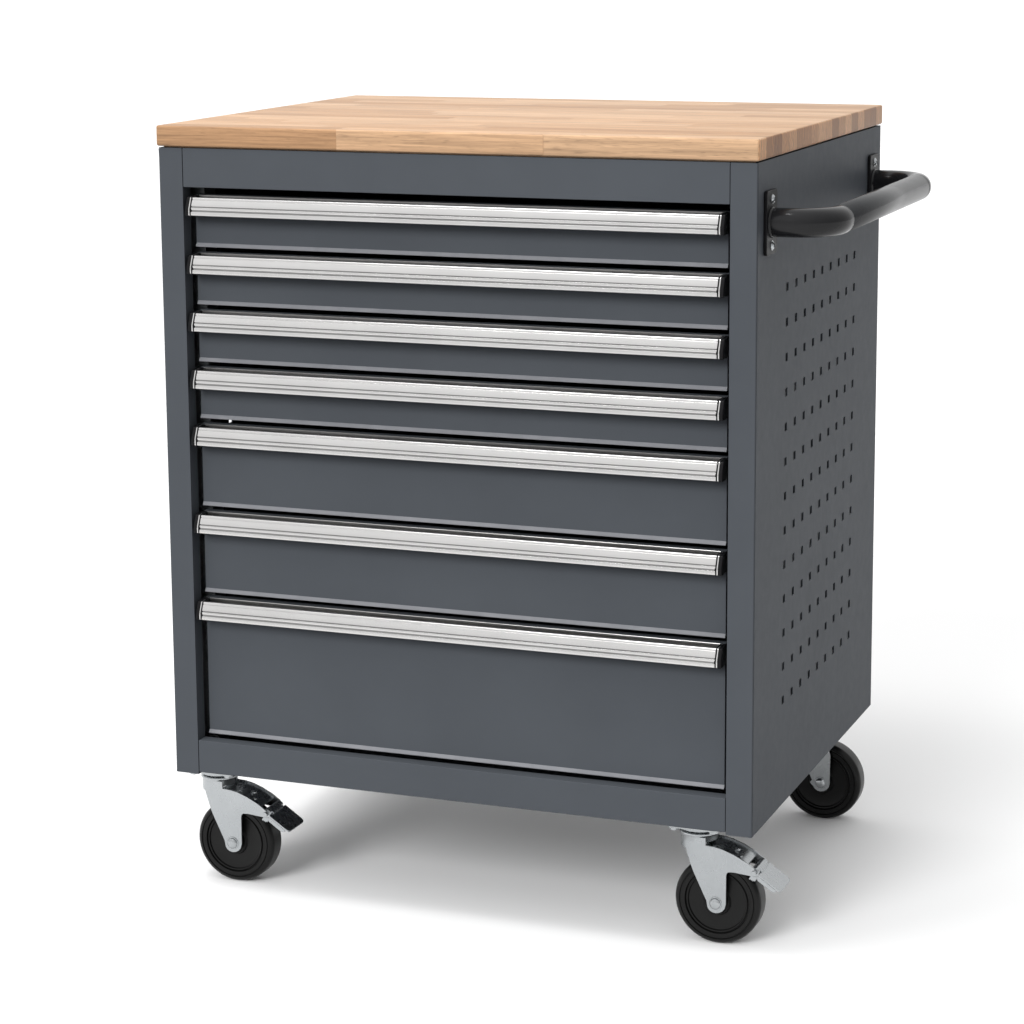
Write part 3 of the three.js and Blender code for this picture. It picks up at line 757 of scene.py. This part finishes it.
def makeGrip():  # the handle of drawer 1, and dark strips that paint the shadow in its two grooves
    low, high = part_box("drawer_1_handle")
    middle = (low.x + high.x) / 2
    half = (high.x - low.x) / 2 - mm(drawerParts["gripShort"])
    grip = outlineSolid("grip", onHandle(gripOutline, "drawer_1_handle"), "X", middle - half, middle + half)
    soften(grip, mm(drawerParts["gripEdge"]), 1, bends["dome"])
    short = mm(drawerParts["lineShort"])
    lines = [outlineSolid("line", onHandle(outline, "drawer_1_handle"), "X", middle - half + short,
                          middle + half - short) for outline in grooveShadowOutlines]
    return grip, unite("line", *lines), middle, half


def makeGripEnds(middle, half):  # a metal rim and a black cap, with a core that goes into the handle
    p = drawerParts
    cover = onHandle(capOutline, "drawer_1_handle")
    centre = sum((Vector(point) for point in cover), Vector((0, 0))) / len(cover)
    core = [tuple(centre + (Vector(point) - centre) * p["coreShare"]) for point in cover]
    rims, caps = [], []
    for sign in (-1, 1):
        inner = middle + sign * (half + mm(p["rimGap"]))
        outer = inner + sign * mm(p["rimWidth"])
        caps.append(outlineSolid("core", core, "X", inner - sign * mm(p["rimGap"] + p["coreIn"]),
                                 inner + sign * mm(p["coreOut"])))
        rims.append(outlineSolid("rim", cover, "X", inner, outer))
        caps.append(outlineSolid("cap", cover, "X", outer, outer + sign * mm(p["capWidth"])))
    rim = soften(unite("rim", *rims), mm(p["rimEdge"]), 1)
    return rim, soften(unite("cap", *caps), mm(p["capEdge"]), 3)


def makeLip():  # the folded hem along the bottom of drawer 1's front
    low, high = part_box("drawer_1")
    tall, out, nose, back, corner = (mm(drawerParts[key]) for key in (
        "lipHeight", "lipOut", "lipNose", "lipBack", "lipCorner"))
    outline = [(low.y + back, low.z + tall), (low.y, low.z + tall), (low.y - out, low.z + nose),
               (low.y - out, low.z + corner), (low.y - out + corner, low.z), (low.y + back, low.z)]
    return soften(outlineSolid("lip", outline, "X", low.x, high.x), mm(drawerParts["lipEdge"]), 2)


def makeDrawers():
    grip, line, middle, half = makeGrip()
    rim, cap = makeGripEnds(middle, half)
    lip = makeLip()
    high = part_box("drawer_1_handle")[1]
    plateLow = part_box("drawer_1")[0]
    for number in range(1, drawerParts["count"] + 1):
        name = f"drawer_{number}"
        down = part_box(name + "_handle")[1] - high
        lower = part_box(name)[0] - plateLow
        box = soften(nodeCopy(name, name + "_box"), mm(drawerParts["fold"]), 2)
        hand(box, paint, name, [name])
        hand(copyOf(grip, name + "_grip", down), aluminium, name, [name + "_handle"])
        # dark strips in the grooves: painted shadow
        hand(copyOf(line, name + "_grip_groove_shadows", down), grooveShadowFinish, name)
        hand(copyOf(rim, name + "_grip_rims", down), aluminium, name)
        hand(copyOf(cap, name + "_grip_caps", down), capPlastic, name)
        # the hem in the lighter paint, a painted highlight
        hand(copyOf(lip, name + "_lip", lower), hemHighlightPaint, name)
    discard(grip, line, rim, cap, lip)


makeDrawers()
print("drawers done")


# push bar

pushBar = {
    "gap": 0.3, "collarBack": 0.2, "collarOut": 1.4, "collarWide": 2.5, "ringWide": 1.6, "ringGroove": 0.8,
    "ringDeep": 0.5, "plateCorner": 5, "plateEdge": 0.7, "boltRise": 27, "boltRadius": 4.9,
    "boltHeight": 2.8, "boltRim": 0.9, "boltSides": 24, "socketRadius": 2.7, "wall": 2, "spinSteps": 20,
    "sides": 48,
}


def makeElbow(end, sign):
    p = pushBar
    plateLow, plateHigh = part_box("push_bar_bracket_" + end)
    low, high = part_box("push_bar_elbow_" + end)
    tubeLow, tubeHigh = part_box("push_bar_tube")
    radius = (high.z - low.z) / 2
    centreZ = (low.z + high.z) / 2
    legY = (plateLow.y + plateHigh.y) / 2
    barX = (tubeLow.x + tubeHigh.x) / 2
    tubeEnd = tubeHigh.y if sign > 0 else tubeLow.y
    bend = abs(legY - tubeEnd)
    start = plateHigh.x + mm(p["gap"])
    letGo()
    bpy.ops.mesh.primitive_circle_add(vertices=p["sides"], radius=radius, fill_type="NGON",
                                      location=(start, legY, centreZ), rotation=(0, math.pi / 2, 0))
    elbow = settle(bpy.context.object)
    edit(elbow, "FACE")
    bpy.ops.mesh.select_all(action="SELECT")
    bpy.ops.mesh.extrude_region_move(TRANSFORM_OT_translate={"value": (barX - bend - start, 0, 0)})
    bpy.ops.mesh.spin(steps=p["spinSteps"], angle=math.pi / 2,
                      center=(barX - bend, legY - sign * bend, centreZ), axis=(0, 0, sign))
    leave()
    outward(elbow)
    r, wide, out = radius * 1000, p["collarWide"], p["collarOut"]
    profile = [(r - 1, 0), (r + out, 0), (r + out, wide * 0.4), (r + 0.3, wide), (r - 1, wide)]
    collar = turned("collar", toMetres(profile), "X", (start - mm(p["collarBack"]), legY, centreZ),
                    p["sides"])
    piece = smooth(unite("bar_elbow_" + end, elbow, collar), bends["round"])
    hand(piece, glossBlack, "chest", ["push_bar_elbow_" + end])


def makeBracket(end):
    p = pushBar
    low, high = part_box("push_bar_bracket_" + end)
    plate = block("bar_bracket_" + end, (low + high) / 2, high - low)
    roundEdges(plate, "X", mm(p["plateCorner"]), 5)
    hand(soften(plate, mm(p["plateEdge"]), 2), capPlastic, "chest", ["push_bar_bracket_" + end])
    elbowLow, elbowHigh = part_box("push_bar_elbow_" + end)
    legY = (low.y + high.y) / 2
    centreZ = (elbowLow.z + elbowHigh.z) / 2
    rad, tall, socket, rim = p["boltRadius"], p["boltHeight"], p["socketRadius"], p["boltRim"]
    profile = [(0, tall * 0.35), (socket, tall * 0.35), (socket, tall), (rad * 0.62, tall * 0.97),
               (rad * 0.88, tall * 0.66), (rad, tall * 0.2), (rad + rim, tall * 0.18), (rad + rim, 0), (0, 0)]
    places = [Vector((high.x, legY, centreZ + mm(rise))) for rise in (-p["boltRise"], p["boltRise"])]
    heads = [turned("bolt", toMetres(profile), "X", place, p["boltSides"]) for place in places]
    hand(smooth(unite("bar_bolts_" + end, *heads), bends["round"]), zinc, "chest")


def makeTube():
    p = pushBar
    low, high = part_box("push_bar_tube")
    radius = (high.z - low.z) / 2 * 1000
    half = (high.y - low.y) / 2 * 1000
    wide, groove, deep = p["ringWide"], p["ringGroove"], p["ringDeep"]
    side = [(radius - deep, 0), (radius, 0.3), (radius, wide), (radius - deep, wide + 0.2),
            (radius - deep, wide + groove), (radius, wide + groove + 0.2)]
    # past both rings, a finer line
    side += [(radius, wide * 2 + groove), (radius - deep * 0.5, wide * 2 + groove + 0.3),
             (radius - deep * 0.5, wide * 2 + groove * 1.8), (radius, wide * 2 + groove * 1.8 + 0.3)]
    profile = [(r, -half + along) for r, along in side] + [(r, half - along) for r, along in reversed(side)]
    profile += [(radius - p["wall"], half), (radius - p["wall"], -half)]
    centre = (low + high) / 2
    tube = turned("bar_tube", toMetres(profile), "Y", centre, p["sides"])
    hand(smooth(tube, bends["round"]), tubePaint, "chest", ["push_bar_tube"])


makeTube()
for end, sign in (("front", -1), ("rear", 1)):
    makeElbow(end, sign)
    makeBracket(end)
print("push bar done")


# casters: modelled once about the swivel axis, heights from the cabinet's underside

caster = {
    "plateThick": 1.8, "plateCorner": 6, "boltOut": 24.5, "boltRadius": 6, "boltHeight": 4,
    "padThick": 8, "padHalf": 33, "padCorner": 4, "cheekInner": 19.8, "cheekOuter": 22.6, "bendSteps": 14,
    "forkReach": 110, "forkHalf": 30, "forkTop": -10, "forkLow": -140, "forkEdge": 0.55, "webPast": 0.2,
    "intoBase": 0.3, "trail": 27, "axle": -102.5, "hookFrom": 48, "armTip": (75, -58.5),
    "pedalSlope": 34, "pedalLength": 39, "pedalThick": 2.2, "pedalHalf": 19.3, "pedalWide": 24,
    "pedalCorner": 6, "pedalRim": 4.2, "rimThick": 1.3,
}
raceOutline = [(6, -9.7), (24, -9.7), (26, -10.3), (26.9, -11.4), (27, -12.6), (26.4, -13.9), (24.8, -14.9),
               (22, -15.2), (21.4, -16.8), (6, -16.8)]
crownOutline = [(5.6, -17.2), (17.6, -17.2), (19.4, -17.4), (22.8, -17.3), (24.2, -18.2), (24.4, -19.8),
                (23.6, -21.2), (22.7, -22.6), (22.6, -27.5), (22.2, -28.5), (5.6, -28.5)]
kingpinOutline = [(0, -9), (5, -9), (5, -29.2), (8, -29.4), (8, -31), (6, -32.4), (0, -32.6)]
cheekLeg = [
    (-25, -21.5), (-25, -36), (-12.5, -37.2), (-9, -45), (-1.3, -64.5), (15.6, -100), (17.2, -108.4),
    (19.4, -111.8), (23, -114), (27.2, -114.8), (31.6, -114), (35.6, -111.8), (38.6, -108.2), (40.2, -102.5),
]
armedCheek = cheekLeg + [
    (40.4, -66), (41.2, -62.6), (43.6, -61), (50, -60.6), (72, -62.6), (74.6, -61.4), (76, -56),
    (75.2, -53.2), (64, -45.6), (50, -38.6), (36, -33.6), (26, -31.6), (14.4, -30.8), (14, -21.5),
]
plainCheek = cheekLeg + [(40.4, -62), (37, -46), (31, -36), (26, -31), (25, -21.5)]
webOutline = [
    (12, -31.8), (26, -33), (36, -35.2), (50, -40.2), (63, -47), (66, -50), (66, -52), (62, -49), (50, -42.4),
    (36, -37.4), (26, -35.2), (12, -34),
]
wheelSide = [
    (4.6, 16.9), (8.6, 16.9), (9.4, 16.5), (10, 14.4), (13.8, 14.2), (14.4, 15.9), (15.8, 16), (16.6, 14.6),
    (17.6, 13.2), (35.0, 12.8), (36.0, 13.2), (37.0, 15.4), (38.2, 15.6), (39.0, 13.4), (40.0, 13.2),
    (41.0, 15.6), (45.8, 15.9), (46.4, 14.7), (47.2, 14.6), (47.8, 15.8), (49.4, 15.5), (51.6, 14.2),
    (53.2, 12.2), (54.0, 10.4), (54.15, 8.6),
]


def forkPlan():  # a strip bent round the swivel, seen from above
    c = caster
    plan = []
    for radius, start, turn in ((c["cheekOuter"], 0.5, 1), (c["cheekInner"], 1.5, -1)):
        for step in range(c["bendSteps"] + 1):
            angle = start * math.pi + turn * math.pi * step / c["bendSteps"]
            plan.append((radius * math.cos(angle), radius * math.sin(angle)))
        if turn > 0:
            plan += [(c["forkReach"], -c["cheekOuter"]), (c["forkReach"], -c["cheekInner"])]
    return plan + [(c["forkReach"], c["cheekInner"]), (c["forkReach"], c["cheekOuter"])]


def makeFork(name, cheek, armed):
    c = caster
    wall = outlineSolid("wall", toMetres(cheek), "Y", mm(-c["forkHalf"]), mm(c["forkHalf"]))
    fork = outlineSolid(name, toMetres(forkPlan()), "Z", mm(c["forkLow"]), mm(c["forkTop"]))
    keepInside(fork, wall)
    smooth(soften(fork, mm(c["forkEdge"]), 2, bends["round"]))
    parts = [fork, smooth(turned("crown", toMetres(crownOutline), "Z", (0, 0, 0), 48))]
    if armed:
        inner = c["cheekInner"] + c["webPast"]
        x = c["hookFrom"]
        hookOutline = [(2.8, -0.6), (3.9, -0.6), (3.9, 0.9), (2.8, 0.9)]
        parts.append(smooth(outlineSolid("web", toMetres(webOutline), "Y", mm(-inner), mm(inner))))
        parts.append(smooth(turned("hook", toMetres(hookOutline), "Z", mm(x, 0, -38.6), 20)))
        parts.append(domedHead("stud", mm(x, 0, -39.4), 2.2, 2.4, "Z", 1, 16))
        parts.append(domedHead("lug", mm(x + 8, -12.5, -43.4), 1.8, 2.0, "Z", 1, 12))
    else:
        lug = [(12, -103), (17, -97), (17, -108)]
        parts.append(outlineSolid("lug", toMetres(lug), "Y", mm(-22.4), mm(-20.2)))
    return unite(name, *parts)


def makeAxle():
    c = caster
    heads = []
    for sign in (-1, 1):
        head = [(0, 3.9), (3.2, 3.7), (5.4, 3.1), (6.7, 2.0), (7.1, 0.9), (7.1, 0.2), (0, 0.2)]
        centre = mm(c["trail"], sign * c["cheekOuter"], c["axle"])
        heads.append(turned("head", [(mm(r), sign * mm(h)) for r, h in head], "Y", centre, 32))
        washer = [(4, 0), (8.4, 0), (8.6, 0.3), (8.4, 0.7), (4, 0.7)]
        heads.append(turned("washer", [(mm(r), sign * mm(h)) for r, h in washer], "Y", centre, 32))
    pinOutline = [(0, -22), (4, -22), (4, 22), (0, 22)]
    pin = turned("pin", toMetres(pinOutline), "Y", mm(c["trail"], 0, c["axle"]), 24)
    return smooth(unite("axle", pin, *heads), bends["round"])


def makeWheel():
    c = caster
    profile = wheelSide + [(r, -y) for r, y in reversed(wheelSide)]
    wheel = turned("wheel", toMetres(profile), "Y", mm(c["trail"], 0, c["axle"]), 96)
    return smooth(wheel, bends["tyre"])


def makePedal():
    c = caster
    hubX, hubZ = c["armTip"]
    slope = math.radians(c["pedalSlope"])
    along = Vector((math.cos(slope), -math.sin(slope)))
    above = Vector((math.sin(slope), math.cos(slope)))
    hub = Vector((hubX, hubZ))
    half, thick, wide, rim, length = (c[key] for key in (
        "pedalHalf", "pedalThick", "pedalWide", "pedalRim", "pedalLength"))

    def bar(name, outline, start, end):  # (forward, up) points from the hub, across the pedal
        points = [tuple(hub + along * forward + above * up) for forward, up in outline]
        return outlineSolid(name, toMetres(points), "Y", mm(start), mm(end))

    plate = bar("plate", [(5.5, 3.2), (length, 3.2), (length, 3.2 - thick), (5.5, 3.2 - thick)], -wide, wide)
    tip = (hub + along * length) / 1000

    def atTip(a, b):
        short = abs(a.y - b.y) < 1e-6 and (a - b).length < mm(thick + 0.2)
        return short and (Vector((a.x, a.z)) - tip).length < mm(5)

    pickEdges(plate, atTip)
    bpy.ops.mesh.bevel(offset=mm(c["pedalCorner"]), segments=3, affect="EDGES")
    leave()
    soften(plate, mm(0.6), 2)
    rollOutline = [(3.1, -half), (5.2, -half), (5.8, -half + 0.6), (5.8, half - 0.6), (5.2, half),
                   (3.1, half)]
    roll = turned("roll", toMetres(rollOutline), "Y", mm(hubX, 0, hubZ), 28)
    saddle = bar("saddle", [(-3, 5.0), (2, 5.6), (7, 4.6), (7, 2), (-3, 2)], -half + 5, half - 5)
    soften(saddle, mm(0.8), 2)
    parts = [plate, smooth(roll), saddle]
    # a shallow rim turned down along both sides, and the toothed shoe that grips the tyre
    flange = [(6, 1), (33, 0.9), (34.5, 0), (32, -rim * 0.8), (28, -rim), (9, -rim), (6, -2)]
    for sign in (-1, 1):
        piece = bar("flange", flange, sign * (wide - c["rimThick"]), sign * wide)
        parts.append(soften(piece, mm(0.25), 1, bends["round"]))
    shoe = [(-1, -2), (-1.4, -12), (0.6, -13), (1, -11.4), (2.6, -12.6), (3, -11), (4.6, -12.2), (5.2, -10),
            (6.6, -10.6), (6.4, -3), (4, 1)]
    parts.append(soften(bar("shoe", shoe, -half + 2, half - 2), mm(0.3), 1, bends["round"]))
    pinOutline = [(0, -24.4), (2.9, -24.4), (3.1, -24), (3.1, 24), (2.9, 24.4), (0, 24.4)]
    parts.append(smooth(turned("pin", toMetres(pinOutline), "Y", mm(hubX, 0, hubZ), 20)))
    return unite("pedal", *parts)


def makePlate():
    c = caster
    low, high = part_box("caster_front_left_plate")
    half = (high.x - low.x) * 500
    plate = block("plate", mm(0, 0, -c["padThick"] - c["plateThick"] / 2),
                  mm(2 * half, 2 * half, c["plateThick"]))
    roundEdges(plate, "Z", mm(c["plateCorner"]), 5)
    soften(plate, mm(0.5), 2)
    parts = [plate, smooth(turned("race", toMetres(raceOutline), "Z", (0, 0, 0), 48))]
    parts.append(smooth(turned("kingpin", toMetres(kingpinOutline), "Z", (0, 0, 0), 24)))
    out, radius, tall = c["boltOut"], c["boltRadius"], c["boltHeight"]
    under = -c["padThick"] - c["plateThick"]
    hexOutline = [(0, under - tall), (radius * 0.86, under - tall), (radius, under - tall * 0.82),
                  (radius, under), (0, under)]
    washerOutline = [(0, under - 0.9), (7.2, under - 0.9), (7.4, under), (0, under)]
    for x, y in ((-out, -out), (out, -out), (out, out), (-out, out)):
        parts.append(smooth(turned("hex", toMetres(hexOutline), "Z", mm(x, y, 0), 6), bends["hex"]))
        parts.append(smooth(turned("washer", toMetres(washerOutline), "Z", mm(x, y, 0), 24)))
    return unite("plate", *parts)


def makePad():  # the stiffener between the cabinet's underside and a caster's plate
    half, thick = caster["padHalf"], caster["padThick"]
    pad = block("pad", mm(0, 0, -thick / 2), mm(2 * half, 2 * half, thick))
    roundEdges(pad, "Z", mm(caster["padCorner"]), 4)
    return soften(pad, mm(0.8), 2)


def makeCasters():
    plate, axle, wheel, pedal, pad = makePlate(), makeAxle(), makeWheel(), makePedal(), makePad()
    forks = {"front": makeFork("fork_front", armedCheek, True),
             "rear": makeFork("fork_rear", plainCheek, False)}
    for end in ("front", "rear"):
        for side in ("left", "right"):
            name = f"caster_{end}_{side}"
            low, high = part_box(name + "_plate")
            place = Vector(((low.x + high.x) / 2, (low.y + high.y) / 2, high.z + mm(caster["intoBase"])))
            hand(copyOf(plate, name + "_mount", place), zinc, "chest", [name + "_plate"])
            hand(copyOf(pad, name + "_pad", place), paint, "chest")
            hand(copyOf(forks[end], name + "_housing", place), zinc, name, [name + "_fork"])
            hand(copyOf(axle, name + "_bolt", place), zinc, name, [name + "_axle"])
            hand(copyOf(wheel, name + "_tyre", place), rubber, name + "_wheel",
                 [name + "_wheel"])
            if end == "front":
                hand(copyOf(pedal, name + "_brake_lever", place), zinc, name + "_brake",
                     [name + "_brake_pedal"])
    discard(plate, axle, wheel, pedal, pad, *forks.values())


makeCasters()
print("casters done")


# what is left of the CAD nodes gets its finish

for name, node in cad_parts.items():
    if name.startswith(("slide_", "runner_frame")):
        node.data.materials.clear()
        node.data.materials.append(slideSteel)
print("slides finished")
